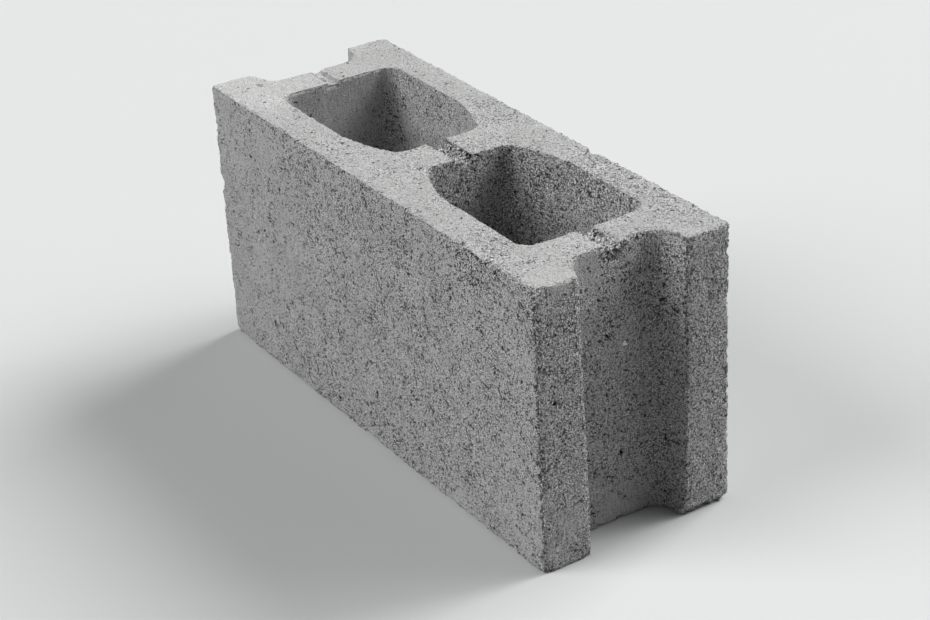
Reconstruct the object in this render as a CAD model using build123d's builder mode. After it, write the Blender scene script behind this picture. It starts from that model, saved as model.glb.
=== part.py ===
from build123d import *
from math import atan, degrees, radians, tan
import os

# A hollow concrete block with two cells, moulded as one solid.
# +X runs along the length, +Z is up, and the origin is the centre of the lower bed face.
# All sizes are in millimetres.

# Overall size. With 10 mm joints it fills a 400 x 150 x 200 module.
length = 390.0
width = 140.0
height = 190.0

# Walls at the upper bed face, where the cells are widest and the walls thinnest.
face_shell = 25.8
centre_web = 34.0
end_web = 28.0

# How far each cell wall has come in at the lower bed face, so that the cores draw out upwards.
core_draft = 2.5

# The cell plan: a long sloping haunch at each side of the centre web, and rounded corners.
haunch_length = 37.0
haunch_width = 13.7
haunch_blend_radius = 80.0
web_corner_radius = 8.0
end_corner_radius = 11.0

# The recess between the two ears of each end. Its mouth narrows downwards, as the cells do.
recess_depth = 21.5
recess_mouth_top = 76.5
recess_mouth_bottom = 69.5
recess_side_angle = 14.0
recess_corner_radius = 11.0
ear_inner_radius = 1.5

# The slot that the bar carrying the cores leaves across the tops of the three webs.
bar_slot_width = 12.0
bar_slot_depth = 5.0

# Easing of the four outer upright corners.
arris_radius = 2.0

# Two places closer than this count as one when corners and edges are picked.
same_place = 0.1

# Places worked out from the sizes above.
end_x = length / 2
recess_floor_x = end_x - recess_depth
recess_side_run = recess_depth * tan(radians(recess_side_angle))
cell_inner_x = centre_web / 2
cell_outer_x = recess_floor_x - end_web
haunch_end_x = cell_inner_x + haunch_length
cell_side_y = width / 2 - face_shell
cell_web_y = cell_side_y - haunch_width
core_taper = degrees(atan(core_draft / height))


def recess_corners(mouth):
    """The corners of the +X end's recess, where its mouth is that wide."""
    mouth_y = mouth / 2
    floor_y = mouth_y - recess_side_run
    return [
        (end_x, -mouth_y),
        (recess_floor_x, -floor_y),
        (recess_floor_x, floor_y),
        (end_x, mouth_y),
    ]


def at_x(shapes, x):
    """The corners or edges whose centre is that far from the centre web, at either side of it."""
    return shapes.filter_by(lambda shape: abs(abs(shape.center().X) - x) < same_place)


def upright_edges(part):
    """The edges that run from bed face to bed face."""
    return part.edges().filter_by(lambda edge: edge.bounding_box().size.Z > height - same_place)


# One end recess, as the solid that is taken out of the block.
with BuildPart() as recess:
    for level, mouth in ((0, recess_mouth_bottom), (height, recess_mouth_top)):
        with BuildSketch(Plane.XY.offset(level)):
            with BuildLine():
                Polyline(*recess_corners(mouth), close=True)
            make_face()
    loft()

# One cell, as the tapered core that moulds it.
with BuildPart() as core:
    with BuildSketch(Plane.XY.offset(height)) as core_plan:
        with BuildLine():
            Polyline(
                (cell_inner_x, -cell_web_y),
                (haunch_end_x, -cell_side_y),
                (cell_outer_x, -cell_side_y),
                (cell_outer_x, cell_side_y),
                (haunch_end_x, cell_side_y),
                (cell_inner_x, cell_web_y),
                close=True,
            )
        make_face()
        fillet(at_x(core_plan.vertices(), cell_inner_x), radius=web_corner_radius)
        fillet(at_x(core_plan.vertices(), haunch_end_x), radius=haunch_blend_radius)
        fillet(at_x(core_plan.vertices(), cell_outer_x), radius=end_corner_radius)
    extrude(amount=-height, taper=core_taper)

with BuildPart() as concrete_block:
    # The outer box.
    with BuildSketch():
        RectangleRounded(length, width, arris_radius)
    extrude(amount=height)

    # The end recesses, with a hollow corner at the floor and a round one at each ear.
    for end in (recess.part, mirror(recess.part, about=Plane.YZ, mode=Mode.PRIVATE)):
        add(end, mode=Mode.SUBTRACT)
    fillet(at_x(upright_edges(concrete_block), recess_floor_x), radius=recess_corner_radius)
    fillet(at_x(upright_edges(concrete_block), end_x), radius=ear_inner_radius)

    # The two cells.
    for cell in (core.part, mirror(core.part, about=Plane.YZ, mode=Mode.PRIVATE)):
        add(cell, mode=Mode.SUBTRACT)

    # The slot along the middle of the upper bed face.
    with Locations((0, 0, height)):
        Box(length, bar_slot_width, 2 * bar_slot_depth, mode=Mode.SUBTRACT)

concrete_block.part.label = "concrete_block"
os.makedirs("parts", exist_ok=True)
export_step(concrete_block.part, "parts/concrete_block.step")
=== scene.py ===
from math import atan, cos, pi, radians, sin, tan

import bmesh
import bpy
from mathutils import Matrix, Vector


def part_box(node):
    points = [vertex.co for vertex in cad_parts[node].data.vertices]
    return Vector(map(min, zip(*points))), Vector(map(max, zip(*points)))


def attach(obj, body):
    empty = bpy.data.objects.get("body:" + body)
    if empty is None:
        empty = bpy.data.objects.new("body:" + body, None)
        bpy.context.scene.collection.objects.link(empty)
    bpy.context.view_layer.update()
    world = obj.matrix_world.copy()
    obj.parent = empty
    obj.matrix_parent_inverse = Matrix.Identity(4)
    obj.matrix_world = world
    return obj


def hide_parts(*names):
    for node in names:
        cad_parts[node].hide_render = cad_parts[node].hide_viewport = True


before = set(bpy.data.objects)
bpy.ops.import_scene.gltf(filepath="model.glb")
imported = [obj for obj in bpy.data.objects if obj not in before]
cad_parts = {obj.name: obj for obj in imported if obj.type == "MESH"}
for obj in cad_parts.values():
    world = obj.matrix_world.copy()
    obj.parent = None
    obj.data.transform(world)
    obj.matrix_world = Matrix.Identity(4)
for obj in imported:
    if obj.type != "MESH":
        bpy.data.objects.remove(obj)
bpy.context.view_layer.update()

mm = 0.001
block_low, block_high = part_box("concrete_block")
length, width, height = block_high - block_low

# The walls, cells, recesses and slot, as the block's mould makes them.
face_shell = 25.8 * mm
centre_web = 34.0 * mm
end_web = 28.0 * mm
core_draft = 2.5 * mm
haunch_length = 37.0 * mm
haunch_width = 13.7 * mm
haunch_blend_radius = 80.0 * mm
web_corner_radius = 8.0 * mm
end_corner_radius = 11.0 * mm
recess_depth = 21.5 * mm
recess_mouth_top = 76.5 * mm
recess_mouth_bottom = 69.5 * mm
recess_side_angle = radians(14.0)
recess_corner_radius = 11.0 * mm
ear_inner_radius = 1.5 * mm
bar_slot_width = 12.0 * mm
arris_radius = 2.0 * mm

# Places worked out from those sizes.
end_x = length / 2
side_y = width / 2
recess_floor_x = end_x - recess_depth
cell_inner_x = centre_web / 2
cell_outer_x = recess_floor_x - end_web
haunch_end_x = cell_inner_x + haunch_length
cell_side_y = side_y - face_shell
cell_web_y = cell_side_y - haunch_width
haunch_turn = atan(haunch_width / haunch_length)

# How far off the middle the cores sat in the mould, which leaves the near face shell the thicker one.
core_offset = 1.8 * mm

# How far a cutter stands out past the face that it opens.
overrun = 6 * mm

# The slot's floor before it crumbles, and what clogs the slot where it crosses the end webs.
crumbling_floor = 3.0 * mm
end_slot_width = 5 * mm
left_slot_fill = 1.8 * mm
right_slot_fill = 1.3 * mm

# The crumbled notch that the slot ends in over the near recess. Its floor is narrower than its mouth, and
# rises inwards to the slot's floor.
notch_width = 12 * mm
notch_depth = 6 * mm
notch_run = 5 * mm
notch_floor_share = 0.3
notch_roughness = 1.2 * mm

# Lost corners and arris chips: the place of each and its radius.
chips = {
    "near_top_corner": ((end_x, -side_y, height), 5 * mm),
    "near_top_side": ((end_x - 7 * mm, -side_y, height), 3 * mm),
    "near_top_end": ((end_x, -side_y + 7 * mm, height), 3 * mm),
    "near_bottom_corner": ((end_x, -side_y, 0), 3 * mm),
    "right_bottom_corner": ((end_x, side_y, 0), 4 * mm),
    "left_top_corner": ((-end_x, -side_y, height), 2.5 * mm),
    "left_bottom_corner": ((-end_x, -side_y, 0), 4 * mm),
    "left_edge_upper": ((-end_x, -side_y, 160 * mm), 3 * mm),
    "left_edge_middle": ((-end_x, -side_y, 118 * mm), 4.5 * mm),
    "left_edge_lower": ((-end_x, -side_y, 60 * mm), 3 * mm),
    "right_edge_upper": ((end_x, side_y, 172 * mm), 3 * mm),
    "right_edge_middle": ((end_x, side_y, 140 * mm), 3 * mm),
    "right_ear_bottom_inner": ((end_x, 41 * mm, 0), 3.2 * mm),
    "right_ear_bottom_left": ((end_x, 47 * mm, 0), 3 * mm),
    "right_ear_bottom_middle": ((end_x, 53 * mm, 0), 3.5 * mm),
    "right_ear_bottom_right": ((end_x, 60 * mm, 0), 3.2 * mm),
    "right_ear_bottom_outer": ((end_x, 66 * mm, 0), 3.2 * mm),
    "recess_bottom": ((recess_floor_x, 4 * mm, 0), 2.5 * mm),
    "recess_rim_left": ((recess_floor_x, 14 * mm, height), 3.5 * mm),
    "recess_rim_middle": ((recess_floor_x + 1 * mm, 21 * mm, height), 3.2 * mm),
    "recess_rim_right": ((recess_floor_x + 6 * mm, 30 * mm, height), 3 * mm),
    "right_ear_rim": ((recess_floor_x + 14 * mm, 35 * mm, height), 2.5 * mm),
    "side_bottom_right": ((163 * mm, -side_y, 0), 3 * mm),
    "side_bottom_middle": ((118 * mm, -side_y, 0), 2.5 * mm),
    "far_edge": ((60 * mm, side_y, height), 5 * mm),
}

# The few voids that are larger than the rest: the place of each and its radius.
voids = {
    "left_ear_top": ((-173 * mm, -43 * mm, height), 2.4 * mm),
    "left_shell_top": ((-119 * mm, -47 * mm, height), 2.2 * mm),
    "left_shell_top_small": ((-107 * mm, -50 * mm, height), 1.8 * mm),
    "left_web_top": ((-160 * mm, -3 * mm, height), 2.6 * mm),
    "side_upper_left": ((-61 * mm, -side_y, 162 * mm), 2.4 * mm),
    "side_upper_middle": ((-26 * mm, -side_y, 173 * mm), 1.8 * mm),
    "side_middle": ((17 * mm, -side_y, 147 * mm), 2.2 * mm),
    "side_lower_left": ((-110 * mm, -side_y, 52 * mm), 2.6 * mm),
    "side_low_left": ((-119 * mm, -side_y, 70 * mm), 2.0 * mm),
    "side_far_left": ((-170 * mm, -side_y, 60 * mm), 2.4 * mm),
    "side_top_left": ((-139 * mm, -side_y, 181 * mm), 1.8 * mm),
    "side_top_far_left": ((-167 * mm, -side_y, 175 * mm), 2.2 * mm),
    "side_upper_far": ((-91 * mm, -side_y, 152 * mm), 1.8 * mm),
    "side_upper_farther": ((-125 * mm, -side_y, 159 * mm), 1.8 * mm),
    "near_ear_middle": ((end_x, -57 * mm, 114 * mm), 2.0 * mm),
    "recess_lower": ((recess_floor_x, -17 * mm, 65 * mm), 2.2 * mm),
    "recess_side": ((recess_floor_x + 3 * mm, 31 * mm, 135 * mm), 2.2 * mm),
}

# Where the mould face lies rougher than around it, or smoother: the middle, the radius and how much.
uneven_patches = {
    "far_shell_rough": ((95 * mm, 60 * mm, height), 60 * mm, 0.32),
    "far_shell_left_rough": ((-25 * mm, 62 * mm, height), 34 * mm, 0.2),
    "right_end_rough": ((165 * mm, 58 * mm, height), 32 * mm, 0.15),
    "near_shell_rough": ((130 * mm, -64 * mm, height), 30 * mm, 0.3),
    "near_corner_smooth": ((185 * mm, -52 * mm, height), 16 * mm, -0.6),
    "left_end_smooth": ((-175 * mm, 0, height), 70 * mm, -0.5),
    "left_ear_smooth": ((-185 * mm, -45 * mm, height), 40 * mm, -0.3),
    "side_left_smooth": ((-190 * mm, -side_y, 110 * mm), 150 * mm, -0.3),
    "side_middle_smooth": ((-30 * mm, -side_y, 95 * mm), 90 * mm, -0.06),
    "side_low_smooth": ((110 * mm, -side_y, 0), 30 * mm, -0.3),
    "near_corner_low_smooth": ((180 * mm, -side_y, 25 * mm), 40 * mm, -0.25),
    "right_cell_web_rough": ((cell_inner_x, 5 * mm, 150 * mm), 70 * mm, 0.2),
    "right_cell_wall_smooth": ((120 * mm, cell_side_y, 150 * mm), 60 * mm, -0.2),
    "left_cell_wall_smooth": ((-90 * mm, cell_side_y, 150 * mm), 70 * mm, -0.15),
    "recess_low_smooth": ((recess_floor_x, 0, 0), 36 * mm, -0.35),
    "recess_top_smooth": ((recess_floor_x, -22 * mm, 178 * mm), 16 * mm, -0.4),
}

# How rough the lump is that cuts a chip or a void, as a share of its radius.
lump_roughness = 0.3

# How finely the worn surface is modelled, how many triangles it may keep, and from which angle an edge is
# shown as sharp.
surface_step = 0.95 * mm
triangle_limit = 190000
sharp_angle = radians(50)

# How far the worn surface stays inside the mould's faces.
kept_inside = Vector((0.03, 0.03, 0.03)) * mm

# Two places closer than this count as one when vertices, edges and faces are picked.
same_place = 0.2 * mm


# Modelling by hand

def deselect_all():
    """Leaves nothing selected, in object mode."""
    if bpy.context.object and bpy.context.object.mode != "OBJECT":
        bpy.ops.object.mode_set(mode="OBJECT")
    bpy.ops.object.select_all(action="DESELECT")


def make_active(piece):
    """Selects this piece alone."""
    deselect_all()
    piece.select_set(True)
    bpy.context.view_layer.objects.active = piece


def add_box(name, low, high):
    """A box between two corners, with its place in its mesh."""
    low, high = Vector(low), Vector(high)
    deselect_all()
    bpy.ops.mesh.primitive_cube_add(size=1, location=(low + high) / 2, scale=high - low)
    bpy.ops.object.transform_apply(location=True, rotation=True, scale=True)
    bpy.context.object.name = name
    return bpy.context.object


def pick(piece, kind, test):
    """Goes into edit mode and selects the vertices, upright edges or faces whose centre passes the test."""
    make_active(piece)
    bpy.ops.object.mode_set(mode="EDIT")
    bpy.ops.mesh.select_mode(type=kind)
    bpy.ops.mesh.select_all(action="DESELECT")
    mesh = bmesh.from_edit_mesh(piece.data)
    if kind == "VERT":
        for vertex in mesh.verts:
            vertex.select_set(test(vertex.co))
    elif kind == "EDGE":
        for edge in mesh.edges:
            upright = abs(edge.verts[0].co.z - edge.verts[1].co.z) > height / 2
            edge.select_set(upright and test((edge.verts[0].co + edge.verts[1].co) / 2))
    else:
        for face in mesh.faces:
            face.select_set(test(face.calc_center_median()))
    bmesh.update_edit_mesh(piece.data)


def near(value, target):
    """Whether a place lies on a line or face of the plan."""
    return abs(value - target) < same_place


def scale_about(centre, x=1, y=1, z=1):
    """Scales what is selected in edit mode about a place."""
    bpy.ops.transform.resize(value=(x, y, z), center_override=centre)


def round_upright_edges(piece, test, offset, steps):
    """Rounds the upright edges that pass the test."""
    pick(piece, "EDGE", test)
    bpy.ops.mesh.bevel(offset=offset, segments=steps, affect="EDGES")
    bpy.ops.object.mode_set(mode="OBJECT")


def extend(piece, z, distance):
    """Draws the piece's flat end at that height out along Z."""
    pick(piece, "FACE", lambda place: near(place.z, z))
    bpy.ops.mesh.extrude_region_move(TRANSFORM_OT_translate={"value": (0, 0, distance)})
    bpy.ops.object.mode_set(mode="OBJECT")


def mirrored_copy(piece, name):
    """The same piece at the other end of the block."""
    make_active(piece)
    bpy.ops.object.duplicate()
    copy = bpy.context.object
    copy.name = name
    bpy.ops.object.mode_set(mode="EDIT")
    bpy.ops.mesh.select_all(action="SELECT")
    scale_about((0, 0, 0), x=-1)
    bpy.ops.mesh.normals_make_consistent(inside=False)
    bpy.ops.object.mode_set(mode="OBJECT")
    return copy


def apply_modifier(piece, name, kind, **settings):
    """Gives the active piece a modifier with these settings, and makes it part of the mesh."""
    modifier = piece.modifiers.new(name, kind)
    for setting, value in settings.items():
        setattr(modifier, setting, value)
    bpy.ops.object.modifier_apply(modifier=modifier.name)


def cut_out(piece, cutter):
    """Takes the cutter's shape out of the piece, and the cutter away."""
    make_active(piece)
    apply_modifier(
        piece, "cut", "BOOLEAN", operation="DIFFERENCE", solver="EXACT", use_self=True, object=cutter
    )
    bpy.data.objects.remove(cutter)


def cell_core():
    """The core that moulds the +X cell, a little narrower at its lower end on all four sides."""
    core = add_box("cell_core", (cell_inner_x, -cell_side_y, 0), (cell_outer_x, cell_side_y, height))
    pick(core, "FACE", lambda place: True)
    bpy.ops.mesh.bisect(plane_co=(haunch_end_x, 0, 0), plane_no=(1, 0, 0))
    pick(core, "VERT", lambda place: near(place.x, cell_inner_x))
    scale_about((cell_inner_x, 0, 0), y=cell_web_y / cell_side_y)
    web_turn = radians(90) - haunch_turn
    web_offset = web_corner_radius * tan(web_turn / 2)
    haunch_offset = haunch_blend_radius * tan(haunch_turn / 2)
    round_upright_edges(core, lambda place: near(place.x, cell_inner_x), web_offset, steps=6)
    round_upright_edges(core, lambda place: near(place.x, haunch_end_x), haunch_offset, steps=8)
    round_upright_edges(core, lambda place: near(place.x, cell_outer_x), end_corner_radius, steps=8)
    cell_length = cell_outer_x - cell_inner_x
    pick(core, "VERT", lambda place: near(place.z, 0))
    scale_about(
        ((cell_inner_x + cell_outer_x) / 2, 0, 0),
        x=1 - 2 * core_draft / cell_length,
        y=1 - core_draft / cell_side_y,
    )
    extend(core, height, overrun)
    extend(core, 0, -overrun)
    pick(core, "VERT", lambda place: True)
    bpy.ops.transform.translate(value=(0, core_offset, 0))
    bpy.ops.object.mode_set(mode="OBJECT")
    return core


def recess_former():
    """The solid that leaves the +X end's recess, with a mouth that narrows downwards."""
    mouth_y = recess_mouth_top / 2
    floor_y = mouth_y - recess_depth * tan(recess_side_angle)
    former = add_box("recess_former", (recess_floor_x, -mouth_y, 0), (end_x, mouth_y, height))
    pick(former, "VERT", lambda place: near(place.x, recess_floor_x))
    scale_about((recess_floor_x, 0, 0), y=floor_y / mouth_y)
    pick(former, "VERT", lambda place: near(place.z, 0))
    scale_about((end_x, 0, 0), y=recess_mouth_bottom / recess_mouth_top)
    corner_turn = radians(90) - recess_side_angle
    corner_offset = recess_corner_radius * tan(corner_turn / 2)
    round_upright_edges(former, lambda place: near(place.x, recess_floor_x), corner_offset, steps=8)
    pick(former, "FACE", lambda place: near(place.x, end_x))
    bpy.ops.mesh.extrude_region_move(TRANSFORM_OT_translate={"value": (overrun, 0, 0)})
    extend(former, height, overrun)
    extend(former, 0, -overrun)
    return former


def recess_pair():
    """The formers of both end recesses."""
    former = recess_former()
    return mirrored_copy(former, "left_recess_former"), former


def slot_former():
    """The bar that leaves the slot across the webs. Over the end webs it is narrow and lies higher."""
    slot = add_box(
        "bar_slot",
        (-end_x - overrun, -bar_slot_width / 2, height - crumbling_floor),
        (end_x + overrun, bar_slot_width / 2, height + overrun),
    )
    for bend_x in (haunch_end_x, -haunch_end_x):
        pick(slot, "FACE", lambda place: True)
        bpy.ops.mesh.bisect(plane_co=(bend_x, 0, 0), plane_no=(1, 0, 0))
    pick(slot, "VERT", lambda place: abs(place.x) > end_x)
    scale_about((0, 0, 0), y=end_slot_width / bar_slot_width)
    for side, fill in ((-1, left_slot_fill), (1, right_slot_fill)):
        pick(slot, "VERT", lambda place: side * place.x > end_x and place.z < height)
        bpy.ops.transform.translate(value=(0, 0, fill))
    bpy.ops.object.mode_set(mode="OBJECT")
    return slot


def notch_former():
    """The wedge of concrete that is missing where the slot meets the near recess."""
    inner_x = recess_floor_x - notch_run
    wedge = add_box(
        "notch_former",
        (inner_x, -notch_width / 2, height - notch_depth),
        (recess_floor_x + overrun, notch_width / 2, height + overrun),
    )
    pick(wedge, "VERT", lambda place: place.z < height)
    scale_about((inner_x, 0, height), y=notch_floor_share)
    pick(wedge, "VERT", lambda place: place.z < height and near(place.x, inner_x))
    bpy.ops.transform.translate(value=(0, 0, notch_depth - crumbling_floor + right_slot_fill))
    pick(wedge, "FACE", lambda place: True)
    bpy.ops.mesh.subdivide(number_cuts=3)
    bpy.ops.transform.vertex_random(offset=notch_roughness, seed=3)
    bpy.ops.object.mode_set(mode="OBJECT")
    return wedge


def lump(name, place, radius, seed):
    """An angular lump, for a chip or a void to be cut with."""
    deselect_all()
    bpy.ops.mesh.primitive_ico_sphere_add(subdivisions=2, radius=radius, location=place)
    piece = bpy.context.object
    piece.name = name
    bpy.ops.object.transform_apply(location=True, rotation=True, scale=True)
    bpy.ops.object.mode_set(mode="EDIT")
    bpy.ops.mesh.select_all(action="SELECT")
    bpy.ops.transform.vertex_random(offset=lump_roughness * radius, seed=seed)
    bpy.ops.object.mode_set(mode="OBJECT")
    return piece


def on_recess_mouth(place):
    """Whether an upright edge is an ear's inner one."""
    return near(abs(place.x), end_x) and abs(place.y) < recess_mouth_top / 2


def on_outer_corner(place):
    """Whether an upright edge is one of the block's four outer corners."""
    return near(abs(place.x), end_x) and near(abs(place.y), side_y)


def moulded_block():
    """The block as it leaves the mould, with the slot's ends as they have broken, before it is worn."""
    block = add_box("hollow_block", block_low, block_high)
    for former in recess_pair():
        cut_out(block, former)
    round_upright_edges(block, on_recess_mouth, ear_inner_radius, steps=4)
    round_upright_edges(block, on_outer_corner, arris_radius, steps=3)
    core = cell_core()
    for cutter in (mirrored_copy(core, "left_core"), core):
        cut_out(block, cutter)
    cut_out(block, slot_former())
    cut_out(block, notch_former())
    return block


# Node wiring

def add_node(tree, kind, inputs=None, **settings):
    """Adds a node, sets its properties, and sets or joins its inputs."""
    node = tree.nodes.new(kind)
    for name, value in settings.items():
        setattr(node, name, value)
    for socket, value in (inputs or {}).items():
        if isinstance(value, bpy.types.NodeSocket):
            tree.links.new(value, node.inputs[socket])
        else:
            node.inputs[socket].default_value = value
    return node


def calc(tree, operation, *values, clamp=False):
    """One step of arithmetic on numbers."""
    inputs = dict(enumerate(values))
    return add_node(tree, "ShaderNodeMath", inputs, operation=operation, use_clamp=clamp).outputs[0]


def calc_vector(tree, operation, *values):
    """One step of arithmetic on vectors."""
    node = add_node(tree, "ShaderNodeVectorMath", dict(enumerate(values)), operation=operation)
    return node.outputs["Value" if operation in ("DOT_PRODUCT", "DISTANCE") else "Vector"]


def scaled(tree, vector, factor):
    """A vector times a number."""
    node = add_node(tree, "ShaderNodeVectorMath", {"Vector": vector, "Scale": factor}, operation="SCALE")
    return node.outputs["Vector"]


def product(tree, *values):
    """Numbers multiplied together, from the first to the last."""
    result = values[0]
    for value in values[1:]:
        result = calc(tree, "MULTIPLY", result, value)
    return result


def ramp(tree, value, start, end, low=0.0, high=1.0, smooth=True):
    """Takes a value from low to high as it goes from start to end."""
    node = add_node(
        tree,
        "ShaderNodeMapRange",
        {"Value": value, "From Min": start, "From Max": end, "To Min": low, "To Max": high},
        interpolation_type="SMOOTHSTEP" if smooth else "LINEAR",
    )
    return node.outputs["Result"]


def noise(tree, place, scale, detail=2.0, rough=0.5):
    """The value of a noise pattern, and its colour."""
    node = add_node(
        tree, "ShaderNodeTexNoise", {"Vector": place, "Scale": scale, "Detail": detail, "Roughness": rough}
    )
    return node.outputs[0], node.outputs["Color"]


def new_group(name, tree_type, inputs, outputs):
    """An empty node group with named sockets, and its inner input and output nodes."""
    group = bpy.data.node_groups.new(name, tree_type)
    for socket, kind in inputs.items():
        group.interface.new_socket(socket, in_out="INPUT", socket_type="NodeSocket" + kind)
    for socket, kind in outputs.items():
        group.interface.new_socket(socket, in_out="OUTPUT", socket_type="NodeSocket" + kind)
    return group, group.nodes.new("NodeGroupInput").outputs, group.nodes.new("NodeGroupOutput").inputs


def place_group(tree, group, **inputs):
    """Puts a node group into a tree with its own values."""
    kind = "ShaderNodeGroup" if tree.bl_idname == "ShaderNodeTree" else "GeometryNodeGroup"
    return add_node(tree, kind, inputs, node_tree=group)


def pattern_place(group, place, given):
    """The place in a pattern of the group's own spacing, moved on by its seed."""
    spaced = scaled(group, place, calc(group, "DIVIDE", 1.0, given["Spacing"]))
    moved = add_node(group, "ShaderNodeCombineXYZ", {"X": given["Seed"], "Y": given["Seed"]}).outputs[0]
    return calc_vector(group, "ADD", spaced, moved)


def store(tree, mesh, name, value, kind):
    """Keeps a value on the mesh's points under a name that the finish reads."""
    node = add_node(
        tree,
        "GeometryNodeStoreNamedAttribute",
        {"Geometry": mesh, "Name": name, "Value": value},
        data_type=kind,
        domain="POINT",
    )
    return node.outputs["Geometry"]


def read(tree, name, kind):
    """A value that store kept."""
    node = add_node(tree, "GeometryNodeInputNamedAttribute", {"Name": name}, data_type=kind)
    return node.outputs["Attribute"]


# Wear

# Below, four numbers in brackets are a ramp: the two values it runs between, and what it comes to there.
# Such a value is a place, how far a face is turned from upright, a noise or a share from 0 to 1.

# The gaps between the grains, shared by the worn surface and the finish. A gap opens where its noise passes
# a level, which falls to the gap's own where the surface is fully open, and is deepest a little past it.
closed_level = 0.74
gap_wall = 0.06
gap_stretch = (1, 1, 0.8)
large_gaps = {"Spacing": 7.0 * mm, "Seed": 3.0, "Level": 0.68}
small_gaps = {"Spacing": 3.0 * mm, "Seed": 17.0, "Level": 0.66}
large_gap_depth = 2.6 * mm
small_gap_depth = 1.4 * mm

# How open the surface is between its grains, from 0 to 1: on upright faces, on the upper bed face and in
# the slot, and how much more so along the upright arrises.
upright_openness = 0.68
level_openness = 0.32
slot_openness = 0.65
arris_openness = 0.08

# How the openness drifts from place to place: the scale of each drift and how far it goes, and what its
# noise runs between.
openness_drifts = ((40.0, 0.08), (110.0, 0.08))
drift_noise = (0.35, 0.65)

# What counts as an arris, by how far smoothing draws it in, and which way a face is turned.
smoothing_rounds = 10
arris_sharpness = (0.08 * mm, 0.6 * mm, 0.0, 1.0)
faces_up = (0.5, 0.9, 0.0, 1.0)
stands_upright = (0.3, 0.7, 1.0, 0.0)

# Where the concrete has crumbled about the slot: how far across, how far along, and from how low, which
# is lower over the near recess. Level arrises have crumbled less.
crumbled_across = (5 * mm, 8 * mm, 1.0, 0.0)
crumbled_along = (-cell_outer_x, -haunch_end_x, 0.4, 1.0)
crumbled_from = (cell_outer_x + 6 * mm, recess_floor_x, height - 7 * mm, height - 13 * mm)
crumbled_fade = 4 * mm
arris_crumbled = 0.7

# The grains missing along the arrises and in the slot, as chunks and as crumbs: the scale of each noise,
# and how deep it takes them.
chunk_scale = 150.0
crumb_scale = 400.0
arris_chunks = (0.48, 0.64, 0.0, 3.6 * mm)
arris_crumbs = (0.44, 0.6, 0.0, 2.6 * mm)
slot_chunks = (0.4, 0.65, 0.0, 1.0 * mm)
slot_crumbs = (0.38, 0.62, 0.0, 2.2 * mm)

# How much an arris has lost: the rims of the cells less than the outer arrises, and upright ones less
# than level ones. It is also drawn in a little where smoothing would draw it.
lost_across = (50 * mm, 60 * mm, 0.4, 1.0)
lost_along = (160 * mm, 168 * mm, 0.4, 1.4)
lost_by_turn = (0.2, 0.6, 0.5, 1.0)
arris_easing = 0.05

# The shallow dips in the faces.
dip_scale = 28.0
dips = (0.3, 0.8, 0.0, 0.4 * mm)


def gap_group(name, tree_type):
    """Ragged gaps between the grains: more and larger ones where the surface is open."""
    group, given, result = new_group(
        name,
        tree_type,
        {"Place": "Vector", "Spacing": "Float", "Seed": "Float", "Level": "Float", "Open": "Float"},
        {"Depth": "Float"},
    )
    stretched = calc_vector(group, "MULTIPLY", given["Place"], gap_stretch)
    field, _ = noise(group, pattern_place(group, stretched, given), 1.0, rough=0.6)
    start = ramp(group, given["Open"], 0.0, 1.0, closed_level, given["Level"])
    depth = ramp(group, field, start, calc(group, "ADD", start, gap_wall))
    group.links.new(depth, result["Depth"])
    return group


def openness(tree, place, facing, upright_arris):
    """How far the cement skin fails to fill the gaps between the grains, from 0 to 1."""
    upward = ramp(tree, facing["Z"], *faces_up)
    amount = ramp(tree, upward, 0, 1, upright_openness, level_openness)
    for scale, change in openness_drifts:
        drift, _ = noise(tree, place, scale)
        amount = calc(tree, "ADD", amount, ramp(tree, drift, *drift_noise, -change, change))
    for middle, radius, change in uneven_patches.values():
        distance = calc_vector(tree, "DISTANCE", place, middle)
        amount = calc(tree, "ADD", amount, ramp(tree, distance, radius / 2, radius, change, 0.0))
    return calc(tree, "ADD", amount, product(tree, upright_arris, arris_openness), clamp=True)


def arrises(tree, place, normal):
    """How sharp the arris at each point is, from 0 to 1, and the way smoothing would draw it."""
    soft = add_node(
        tree,
        "GeometryNodeBlurAttribute",
        {"Value": place, "Iterations": smoothing_rounds},
        data_type="FLOAT_VECTOR",
    ).outputs["Value"]
    drawn_in = calc_vector(tree, "SUBTRACT", soft, place)
    sharpness = product(tree, calc_vector(tree, "DOT_PRODUCT", drawn_in, normal), -1.0)
    return ramp(tree, sharpness, *arris_sharpness), drawn_in


def crumbled_slot(tree, axes):
    """How far the concrete at each point has crumbled about the slot, from 0 to 1."""
    across = ramp(tree, calc(tree, "ABSOLUTE", axes["Y"]), *crumbled_across)
    bottom = ramp(tree, axes["X"], *crumbled_from)
    upwards = ramp(tree, axes["Z"], bottom, calc(tree, "ADD", bottom, crumbled_fade))
    return product(tree, across, upwards, ramp(tree, axes["X"], *crumbled_along))


def lost_depth(tree, place, axes, turn, arris, in_slot):
    """How deep the grains are missing along the arrises and in the slot."""
    chunk, _ = noise(tree, place, chunk_scale)
    crumb, _ = noise(tree, place, crumb_scale)
    lost_on_arris = calc(
        tree, "ADD", ramp(tree, chunk, *arris_chunks), ramp(tree, crumb, *arris_crumbs)
    )
    outward = calc(
        tree,
        "MAXIMUM",
        ramp(tree, calc(tree, "ABSOLUTE", axes["Y"]), *lost_across),
        ramp(tree, calc(tree, "ABSOLUTE", axes["X"]), *lost_along),
    )
    steepness = ramp(tree, turn, *lost_by_turn)
    lost_in_slot = calc(
        tree, "ADD", ramp(tree, chunk, *slot_chunks), ramp(tree, crumb, *slot_crumbs)
    )
    return calc(
        tree,
        "ADD",
        product(tree, lost_on_arris, outward, steepness, arris),
        product(tree, lost_in_slot, in_slot),
    )


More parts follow.
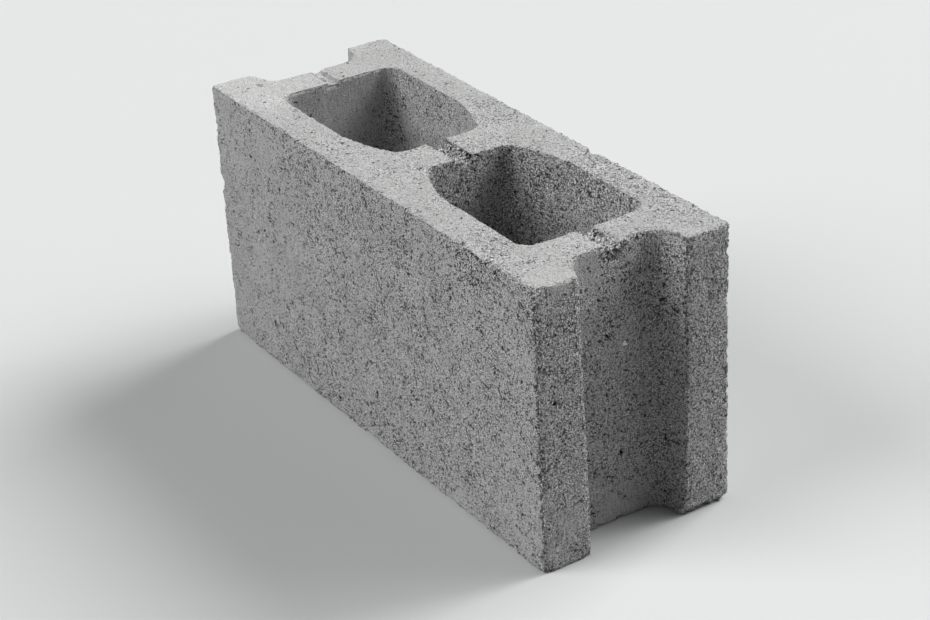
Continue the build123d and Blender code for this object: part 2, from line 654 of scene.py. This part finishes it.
def worn_surface():
    """The geometry nodes that wear the arrises, crumble the slot and open the gaps between the grains."""
    tree, given, result = new_group(
        "worn_surface", "GeometryNodeTree", {"Mesh": "Geometry"}, {"Mesh": "Geometry"}
    )
    mesh = given["Mesh"]
    place = add_node(tree, "GeometryNodeInputPosition").outputs[0]
    normal = add_node(tree, "GeometryNodeInputNormal").outputs["Normal"]
    axes = add_node(tree, "ShaderNodeSeparateXYZ", {0: place}).outputs
    facing = add_node(tree, "ShaderNodeSeparateXYZ", {0: normal}).outputs
    turn = calc(tree, "ABSOLUTE", facing["Z"])

    # What the finish reads from the mesh.
    arris, drawn_in = arrises(tree, place, normal)
    in_slot = crumbled_slot(tree, axes)
    upright = ramp(tree, turn, *stands_upright)
    upright_arris = product(tree, arris, upright)
    level_arris = calc(tree, "SUBTRACT", arris, upright_arris)
    open_face = openness(tree, place, facing, upright_arris)
    open_amount = calc(tree, "MAXIMUM", open_face, product(tree, in_slot, slot_openness))
    crumbled = calc(tree, "MAXIMUM", product(tree, level_arris, arris_crumbled), in_slot)
    mesh = store(tree, mesh, "moulded_place", place, "FLOAT_VECTOR")
    mesh = store(tree, mesh, "upright", upright, "FLOAT")
    mesh = store(tree, mesh, "open", open_amount, "FLOAT")
    mesh = store(tree, mesh, "crumbled", crumbled, "FLOAT")

    # How deep each point goes in: the missing grains, the dips and the gaps.
    depth = lost_depth(tree, place, axes, turn, arris, in_slot)
    dip, _ = noise(tree, place, dip_scale)
    depth = calc(tree, "ADD", depth, ramp(tree, dip, *dips))
    gaps = gap_group("gaps_in_surface", "GeometryNodeTree")
    open_amount = read(tree, "open", "FLOAT")
    for sizes, deepest in ((large_gaps, large_gap_depth), (small_gaps, small_gap_depth)):
        gap = place_group(tree, gaps, Place=place, Open=open_amount, **sizes).outputs["Depth"]
        depth = calc(tree, "ADD", depth, product(tree, gap, deepest))
    inward = scaled(tree, normal, product(tree, depth, -1.0))
    eased = scaled(tree, drawn_in, product(tree, arris, arris_easing))
    offset = calc_vector(tree, "ADD", inward, eased)
    move = add_node(tree, "GeometryNodeSetPosition", {"Geometry": mesh, "Offset": offset})

    # Nothing stands out past the mould's faces.
    inside = calc_vector(tree, "MINIMUM", place, tuple(block_high - kept_inside))
    inside = calc_vector(tree, "MAXIMUM", inside, tuple(block_low + kept_inside))
    hold = add_node(
        tree, "GeometryNodeSetPosition", {"Geometry": move.outputs["Geometry"], "Position": inside}
    )
    tree.links.new(hold.outputs["Geometry"], result["Mesh"])
    return tree


def wear(block):
    """Chips, wears and pits the moulded block, and leaves a mesh within the triangle limit."""
    lumps = [
        lump(name, place, radius, seed)
        for seed, (name, (place, radius)) in enumerate({**chips, **voids}.items())
    ]
    deselect_all()
    for piece in lumps:
        piece.select_set(True)
    bpy.context.view_layer.objects.active = lumps[0]
    bpy.ops.object.join()
    cut_out(block, lumps[0])
    make_active(block)
    apply_modifier(block, "fine_surface", "REMESH", mode="VOXEL", voxel_size=surface_step)
    apply_modifier(block, "worn_surface", "NODES", node_group=worn_surface())
    triangles = len(block.data.loops) - 2 * len(block.data.polygons)
    share = triangle_limit / triangles
    apply_modifier(block, "thin_out", "DECIMATE", ratio=share, use_collapse_triangulate=True)
    bpy.ops.object.shade_smooth_by_angle(angle=sharp_angle)


# Finish

# The middle tone of the cement, its roughness and gloss, and the sizes of its sand and dust.
cement_grey = (0.475, 0.473, 0.472)
cement_roughness = 0.9
cement_gloss = 0.3
grain_size = 1.3 * mm
dust_size = 0.7 * mm
dust_roughness = 0.7

# The middle of a noise, and so of what it changes.
noise_middle = 0.5

# The edges of pits, grains and cracks wander by half this much at most, as a noise of this scale does.
raggedness = 2.2 * mm
ragged_scale = 1100.0

# The pits and pinholes: how far apart they may lie, and what share of those places has one where the
# surface is fully open. A hole's radius is drawn from a range of its spacing, and its floor ends at a
# share of that radius.
pits = {"Spacing": 3.2 * mm, "Seed": 5.0, "Share": 0.3}
pinholes = {"Spacing": 1.2 * mm, "Seed": 9.0, "Share": 1.0}
hole_radius = (0.0, 1.0, 0.2, 0.45)
hole_floor = 0.6

# The pits gather in the open parts, on upright faces and in patches, and are weaker in pale dust.
pits_where_open = (0.0, 1.0, 0.35, 1.0)
pits_where_upright = (0.0, 1.0, 0.7, 1.0)
pits_in_patches = (0.35, 0.6, 0.3, 1.8)
pits_in_dust = (0.46, 0.6, 1.0, 0.4)

# The cracks round single grains: how far apart, how wide, and the noise and its level that pick them.
# There are more of them where the surface is open or crumbled.
crack_size = 2.0 * mm
crack_width = (0.03, 0.15, 1.0, 0.0)
crack_patches = 1.1
crack_level = (0.0, 1.0, 0.66, 0.53)
crack_level_crumbled = 0.08
crack_fade = 0.05

# The longer tears on upright faces, in the same patches as the pits: how far apart and how wide.
tear_size = 9.0 * mm
tear_flatness = (1, 1, 2.2)
tear_width = (0.02, 0.05, 1.0, 0.0)
tears_in_patches = (0.65, 0.69, 0.0, 1.0)

# The grains' and the dust's own tones, about their middle ones, and how strongly they show.
grain_middle = 0.4
grain_contrast = (0.0, 1.0, 0.35, 0.8)
dust_middle = 0.485
dust_contrast = (0.0, 1.0, 4.8, 6.5)
open_contrast = (0.2, 1.0, 0.35, 1.1)

# The dark specks: how far the dust falls for one.
speck_level = (0.0, 1.0, 0.36, 0.46)
speck_fade = 0.05

# Slow changes of tone, and the streaks that the mould has drawn down the upright faces.
cloud_scale = 30.0
cloud_tone = (0.3, 0.7, 0.94, 1.05)
streak_scale = 1100.0
streak_stretch = (1, 1, 0.08)
streak_contrast = 0.6

# How dark each mark is at its deepest, as a share of the tone round it. For the gaps, pits, pinholes and
# cracks this is painted shade, which stands in for the shade in their hollows; the specks are dark specks
# in the dust.
marks_darkness_with_painted_shade = {
    "large_gap": 0.3,
    "small_gap": 0.35,
    "pit": 0.06,
    "pinhole": 0.04,
    "crack": 0.04,
    "speck": 0.06,
}

# Faces that don't stand upright are a little darker. Crumbled places are paler: their loose grains, and
# painted light that lifts the shade on the slot's floor and makes the worn level arrises look lit.
upright_tone = (0.0, 1.0, 0.98, 1.0)
crumbled_tone_and_painted_light = (0.0, 1.0, 1.0, 1.18)

# Where the upper bed face is paler, and how much.
pale_place = (-185 * mm, -45 * mm, height)
pale_radius = 70 * mm
pale_change = 0.17

# One pale grain that shows on the near recess.
quartz_place = (recess_floor_x, 8 * mm, 121 * mm)
quartz_size = 1.8 * mm
quartz_tone = 3.4

# The relief that is too fine for the mesh, in millimetres: the grains, the dust, the lumps of the bed face
# and how deep the marks are.
grain_dome = (0.0, 0.8, 0.35, 0.0)
dust_height = 1.2
lump_scale = 400.0
lump_height = 1.6
mark_depths = {"small_gap": 0.5, "pit": 1.2, "pinhole": 0.6, "crack": 0.5}


def cells(tree, place, size, feature="F1"):
    """The outputs of a pattern of cells of about that size."""
    node = add_node(tree, "ShaderNodeTexVoronoi", {"Vector": place, "Scale": 1 / size}, feature=feature)
    return node.outputs


def hole_group():
    """Separate small holes of many sizes: more of them where the surface is open."""
    group, given, result = new_group(
        "holes",
        "ShaderNodeTree",
        {"Place": "Vector", "Spacing": "Float", "Seed": "Float", "Share": "Float", "Open": "Float"},
        {"Depth": "Float"},
    )
    spots = cells(group, pattern_place(group, given["Place"], given), 1.0)
    chance = add_node(group, "ShaderNodeSeparateColor", {0: spots["Color"]}).outputs
    radius = ramp(group, chance[1], *hole_radius, smooth=False)
    hole = ramp(group, spots["Distance"], product(group, radius, hole_floor), radius, 1.0, 0.0)
    share = product(group, given["Share"], given["Open"])
    present = calc(group, "LESS_THAN", chance[0], share)
    group.links.new(product(group, hole, present), result["Depth"])
    return group


def fine_holes(tree, worn, ragged_place, patch, dust):
    """The pits and the pinholes, which are too fine for the mesh."""
    holes = hole_group()
    pit_share = product(
        tree,
        ramp(tree, worn["open"], *pits_where_open),
        ramp(tree, worn["upright"], *pits_where_upright),
        ramp(tree, patch, *pits_in_patches),
    )
    pit, pinhole = (
        place_group(tree, holes, Place=ragged_place, Open=amount, **sizes).outputs["Depth"]
        for amount, sizes in ((pit_share, pits), (worn["open"], pinholes))
    )
    return product(tree, pit, ramp(tree, dust, *pits_in_dust)), pinhole


def fine_cracks(tree, worn, place, ragged_place, patch):
    """The cracks round some of the grains, and the longer tears on upright faces."""
    joint, _ = noise(tree, place, crack_patches / crack_size)
    level = calc(
        tree,
        "SUBTRACT",
        ramp(tree, worn["open"], *crack_level),
        product(tree, worn["crumbled"], crack_level_crumbled),
    )
    cracked = ramp(tree, joint, level, calc(tree, "ADD", level, crack_fade))
    from_edge = cells(tree, ragged_place, crack_size, "DISTANCE_TO_EDGE")["Distance"]
    crack = product(tree, ramp(tree, from_edge, *crack_width), cracked)
    torn = product(tree, ramp(tree, patch, *tears_in_patches), worn["upright"])
    flat_place = calc_vector(tree, "MULTIPLY", ragged_place, tear_flatness)
    from_edge = cells(tree, flat_place, tear_size, "DISTANCE_TO_EDGE")["Distance"]
    tear = product(tree, ramp(tree, from_edge, *tear_width), torn)
    return calc(tree, "MAXIMUM", crack, tear)


def dark_specks(tree, worn, dust):
    """The dark specks among the dust."""
    level = ramp(tree, worn["open"], *speck_level)
    return ramp(tree, dust, calc(tree, "SUBTRACT", level, speck_fade), level, 1.0, 0.0)


def tone_with_painted_light_and_shade(tree, worn, place, ragged_place, grain, dust, contrast, marks):
    """How pale the concrete is, beside the cement's middle tone, with painted shade in its gaps, pits,
    pinholes and cracks and painted light on crumbled places.
    """
    grain_tone = add_node(tree, "ShaderNodeSeparateColor", {0: grain["Color"]}).outputs[0]
    sandy = product(
        tree,
        calc(tree, "SUBTRACT", grain_tone, grain_middle),
        ramp(tree, worn["crumbled"], *grain_contrast),
    )
    dusty = product(
        tree,
        calc(tree, "SUBTRACT", dust, dust_middle),
        ramp(tree, worn["upright"], *dust_contrast),
    )
    speckle = calc(tree, "ADD", sandy, dusty)
    tone = calc(tree, "ADD", product(tree, speckle, contrast), 1.0)
    cloud, _ = noise(tree, place, cloud_scale, detail=3.0, rough=0.6)
    tone = product(tree, tone, ramp(tree, cloud, *cloud_tone))
    drawn_place = calc_vector(tree, "MULTIPLY", place, streak_stretch)
    streak, _ = noise(tree, drawn_place, streak_scale, detail=1.0)
    streak = calc(tree, "SUBTRACT", streak, noise_middle)
    streaks = product(tree, streak, worn["upright"], streak_contrast)
    tone = product(tree, tone, calc(tree, "ADD", streaks, 1.0))
    # Painted shade: the gaps, pits, pinholes and cracks darken the colour as the shade in their hollows
    # would; the specks are dark specks in the dust.
    for name, level in marks_darkness_with_painted_shade.items():
        tone = product(tree, tone, ramp(tree, marks[name], 0.0, 1.0, 1.0, level, smooth=False))
    tone = product(tree, tone, ramp(tree, worn["upright"], *upright_tone))
    # Painted light: the crumbled slot floor and the worn level arrises are made paler than their shade.
    tone = product(tree, tone, ramp(tree, worn["crumbled"], *crumbled_tone_and_painted_light))
    from_pale = calc_vector(tree, "DISTANCE", place, pale_place)
    paler = ramp(tree, from_pale, pale_radius / 2, pale_radius, pale_change, 0.0)
    paler = product(tree, paler, calc(tree, "SUBTRACT", 1.0, worn["upright"]))
    tone = product(tree, tone, calc(tree, "ADD", paler, 1.0))
    from_quartz = calc_vector(tree, "DISTANCE", ragged_place, quartz_place)
    quartz = ramp(tree, from_quartz, quartz_size / 2, quartz_size, quartz_tone, 1.0)
    return product(tree, tone, quartz)


def fine_relief(tree, worn, place, grain, dust, contrast, marks):
    """The height of the relief that is too fine for the mesh, in millimetres."""
    dome = product(tree, ramp(tree, grain["Distance"], *grain_dome), contrast)
    relief = calc(tree, "ADD", dome, product(tree, dust, dust_height))
    lumps, _ = noise(tree, place, lump_scale)
    level = calc(tree, "SUBTRACT", 1.0, worn["upright"])
    relief = calc(tree, "ADD", relief, product(tree, lumps, product(tree, level, lump_height)))
    for name, depth in mark_depths.items():
        relief = calc(tree, "SUBTRACT", relief, product(tree, marks[name], depth))
    return relief


def concrete():
    """Dense grey concrete: pressed cement skin, open gaps, sand grains and draw marks, with painted shade
    in its gaps, pits, pinholes and cracks and painted light on crumbled places.
    """
    material = bpy.data.materials.new("block_concrete")
    material.use_nodes = True
    tree = material.node_tree
    shader = tree.nodes["Principled BSDF"]

    # What the wear has left on the mesh.
    place = add_node(tree, "ShaderNodeAttribute", attribute_name="moulded_place").outputs["Vector"]
    worn = {
        name: add_node(tree, "ShaderNodeAttribute", attribute_name=name).outputs["Fac"]
        for name in ("open", "upright", "crumbled")
    }

    # The patterns that several of the marks share.
    _, ragged = noise(tree, place, ragged_scale)
    either_way = calc_vector(tree, "SUBTRACT", ragged, (noise_middle, noise_middle, noise_middle))
    wander = scaled(tree, either_way, raggedness)
    ragged_place = calc_vector(tree, "ADD", place, wander)
    patch, _ = noise(tree, place, 1.0 / tear_size, detail=1.0)
    dust, _ = noise(tree, place, 1 / dust_size, rough=dust_roughness)
    grain = cells(tree, ragged_place, grain_size)
    contrast = ramp(tree, worn["open"], *open_contrast)

    # The marks. The gaps lie where the worn surface has them.
    gaps = gap_group("gaps", "ShaderNodeTree")
    marks = {
        name: place_group(tree, gaps, Place=place, Open=worn["open"], **sizes).outputs["Depth"]
        for name, sizes in (("large_gap", large_gaps), ("small_gap", small_gaps))
    }
    marks["pit"], marks["pinhole"] = fine_holes(tree, worn, ragged_place, patch, dust)
    marks["crack"] = fine_cracks(tree, worn, place, ragged_place, patch)
    marks["speck"] = dark_specks(tree, worn, dust)

    tone = tone_with_painted_light_and_shade(tree, worn, place, ragged_place, grain, dust, contrast, marks)
    channels = {
        name: product(tree, tone, level)
        for name, level in zip(("Red", "Green", "Blue"), cement_grey)
    }
    colour = add_node(tree, "ShaderNodeCombineColor", channels)
    tree.links.new(colour.outputs[0], shader.inputs["Base Color"])
    shader.inputs["Roughness"].default_value = cement_roughness
    shader.inputs["Specular IOR Level"].default_value = cement_gloss

    relief = fine_relief(tree, worn, place, grain, dust, contrast, marks)
    bump = add_node(tree, "ShaderNodeBump", {"Height": relief, "Distance": 1.0 * mm, "Strength": 1.0})
    tree.links.new(bump.outputs["Normal"], shader.inputs["Normal"])
    return material


# The view: where the photograph was taken from, worked out from the block's corners.
view_azimuth = radians(58.46)
view_elevation = radians(27.91)
view_roll = radians(-3.22)
view_distance = 1504.8 * mm
view_shift_right = 0.4 * mm
view_shift_up = 65.4 * mm
view_focal_pixels = 2234.9
picture_width = 930
sensor_width_mm = 36
view_starts_at = 50 * mm


def photo_camera():
    """The camera, at the photograph's place and angle."""
    back = Vector((
        sin(view_azimuth) * cos(view_elevation),
        -cos(view_azimuth) * cos(view_elevation),
        sin(view_elevation),
    ))
    level_right = Vector((0, 0, 1)).cross(back).normalized()
    level_up = back.cross(level_right)
    right = cos(view_roll) * level_right + sin(view_roll) * level_up
    up = cos(view_roll) * level_up - sin(view_roll) * level_right
    camera_data = bpy.data.cameras.new("photo_camera")
    camera_data.sensor_width = sensor_width_mm
    camera_data.lens = sensor_width_mm * view_focal_pixels / picture_width
    camera_data.clip_start = view_starts_at
    camera = bpy.data.objects.new("photo_camera", camera_data)
    bpy.context.scene.collection.objects.link(camera)
    camera.matrix_world = Matrix((right, up, back)).transposed().to_4x4()
    camera.location = view_distance * back + view_shift_right * right + view_shift_up * up
    bpy.context.scene.camera = camera


# The soft lights: where each stands round the block and above the floor, how wide it is and how bright.
lamps = {
    "back_window": (radians(90), radians(38), radians(35), 0.98),
    "back_right_window": (radians(70), radians(38), radians(35), 0.31),
    "right_window": (radians(45), radians(38), radians(35), 0.09),
    "front_window": (radians(250), radians(38), radians(35), 0.72),
    "front_low_window": (radians(270), radians(15), radians(25), 0.06),
}
all_round_light = 0.075
pale_wall = 0.75
pale_floor = (0.55, 0.56, 0.56)
floor_bounce = 0.25
floor_roughness = 0.8


def add_lamp(name, azimuth, elevation, spread, brightness):
    """A soft lamp far off, as bright as a white sheet of that brightness where it shines straight down."""
    data = bpy.data.lights.new(name, "SUN")
    data.angle = spread
    data.energy = pi * brightness
    lamp = bpy.data.objects.new(name, data)
    bpy.context.scene.collection.objects.link(lamp)
    towards = Vector((cos(elevation) * cos(azimuth), cos(elevation) * sin(azimuth), sin(elevation)))
    lamp.rotation_euler = towards.to_track_quat("Z", "Y").to_euler()


def looked_at(tree):
    """1 where something is looked at, also in a mirror or through glass, and 0 where it throws light."""
    seen = add_node(tree, "ShaderNodeLightPath").outputs
    either = calc(tree, "MAXIMUM", seen["Is Camera Ray"], seen["Is Glossy Ray"])
    return calc(tree, "MAXIMUM", either, seen["Is Transmission Ray"])


def floor_material():
    """A matte floor, pale to look at but grey in what it throws back on the block."""
    material = bpy.data.materials.new("studio_floor")
    material.use_nodes = True
    tree = material.node_tree
    shader = tree.nodes["Principled BSDF"]
    shader.inputs["Roughness"].default_value = floor_roughness
    choice = add_node(tree, "ShaderNodeMix", {"Factor": looked_at(tree)}, data_type="RGBA")
    thrown_back, shown = (socket for socket in choice.inputs if socket.type == "RGBA")
    thrown_back.default_value = (floor_bounce, floor_bounce, floor_bounce, 1)
    shown.default_value = (*pale_floor, 1)
    chosen = next(socket for socket in choice.outputs if socket.type == "RGBA")
    tree.links.new(chosen, shader.inputs["Base Color"])
    return material


def studio():
    """A pale floor, soft lamps and even light from all round."""
    deselect_all()
    bpy.ops.mesh.primitive_plane_add(size=12)
    floor = bpy.context.object
    floor.name = "floor"
    floor.data.materials.append(floor_material())
    for name, setting in lamps.items():
        add_lamp(name, *setting)
    world = bpy.data.worlds.new("studio")
    world.use_nodes = True
    tree = world.node_tree
    background = tree.nodes["Background"]
    background.inputs["Color"].default_value = (1, 1, 1, 1)
    strength = ramp(tree, looked_at(tree), 0.0, 1.0, all_round_light, pale_wall, smooth=False)
    tree.links.new(strength, background.inputs["Strength"])
    bpy.context.scene.world = world


photo_camera()
studio()
bpy.context.scene.view_settings.view_transform = "Standard"

block = moulded_block()
wear(block)
block.data.materials.clear()
block.data.materials.append(concrete())
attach(block, "root")
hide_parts("concrete_block")
